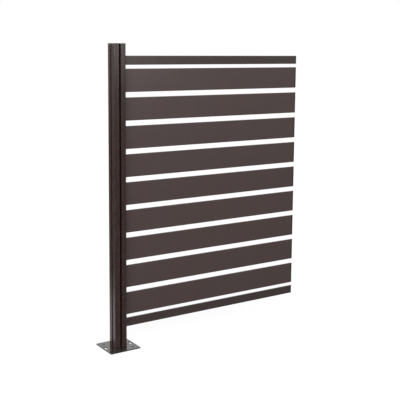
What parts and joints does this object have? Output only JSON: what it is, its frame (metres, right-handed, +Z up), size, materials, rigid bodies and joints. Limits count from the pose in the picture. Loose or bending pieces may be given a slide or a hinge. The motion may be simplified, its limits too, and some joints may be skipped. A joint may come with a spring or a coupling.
{
  "type": "garden privacy screen",
  "caption": "Garden privacy screen: a square grooved post on a slotted base plate, holding a panel of wide horizontal slats with open gaps between two narrow rails.",
  "frame": {"origin": "underside of the base plate, below the centre of the post", "axes": "+Z up the post, +X along the slats from the post to their free end, -Y the front"},
  "size_m": [1.106, 0.152, 1.3973],
  "materials": {
    "plate_coat": "satin powder coat on steel",
    "post_coat": "satin powder coat on aluminium",
    "slat_coat": "satin powder coat on aluminium",
    "rail_coat": "satin powder coat on aluminium",
    "cap_plastic": "fine satin, in the post's colour",
    "end_cap_plastic": "matte",
    "spacer_plastic": "matte",
    "clamp_alloy": "dark coat",
    "zinc_steel": "zinc plated"
  },
  "bodies": {
    "root": {"base_plate": "plate_coat", "post": "post_coat", "post_cap": "cap_plastic", "base_screw_1": "zinc_steel", "base_screw_2": "zinc_steel", "base_screw_3": "zinc_steel", "base_screw_4": "zinc_steel", "top_rail": "rail_coat", "top_rail_end_cap": "end_cap_plastic", "slat_1": "slat_coat", "slat_1_end_cap": "end_cap_plastic", "slat_2": "slat_coat", "slat_2_end_cap": "end_cap_plastic", "slat_3": "slat_coat", "slat_3_end_cap": "end_cap_plastic", "slat_4": "slat_coat", "slat_4_end_cap": "end_cap_plastic", "slat_5": "slat_coat", "slat_5_end_cap": "end_cap_plastic", "slat_6": "slat_coat", "slat_6_end_cap": "end_cap_plastic", "slat_7": "slat_coat", "slat_7_end_cap": "end_cap_plastic", "slat_8": "slat_coat", "slat_8_end_cap": "end_cap_plastic", "slat_9": "slat_coat", "slat_9_end_cap": "end_cap_plastic", "bottom_rail": "rail_coat", "bottom_rail_end_cap": "end_cap_plastic", "groove_spacer_1": "spacer_plastic", "groove_spacer_2": "spacer_plastic", "groove_spacer_3": "spacer_plastic", "groove_spacer_4": "spacer_plastic", "groove_spacer_5": "spacer_plastic", "groove_spacer_6": "spacer_plastic", "groove_spacer_7": "spacer_plastic", "groove_spacer_8": "spacer_plastic", "groove_spacer_9": "spacer_plastic", "groove_spacer_10": "spacer_plastic", "top_lock": "clamp_alloy", "top_lock_set_screw": "zinc_steel", "bottom_stop": "clamp_alloy", "bottom_stop_set_screw": "zinc_steel"}
  },
  "joints": []
}
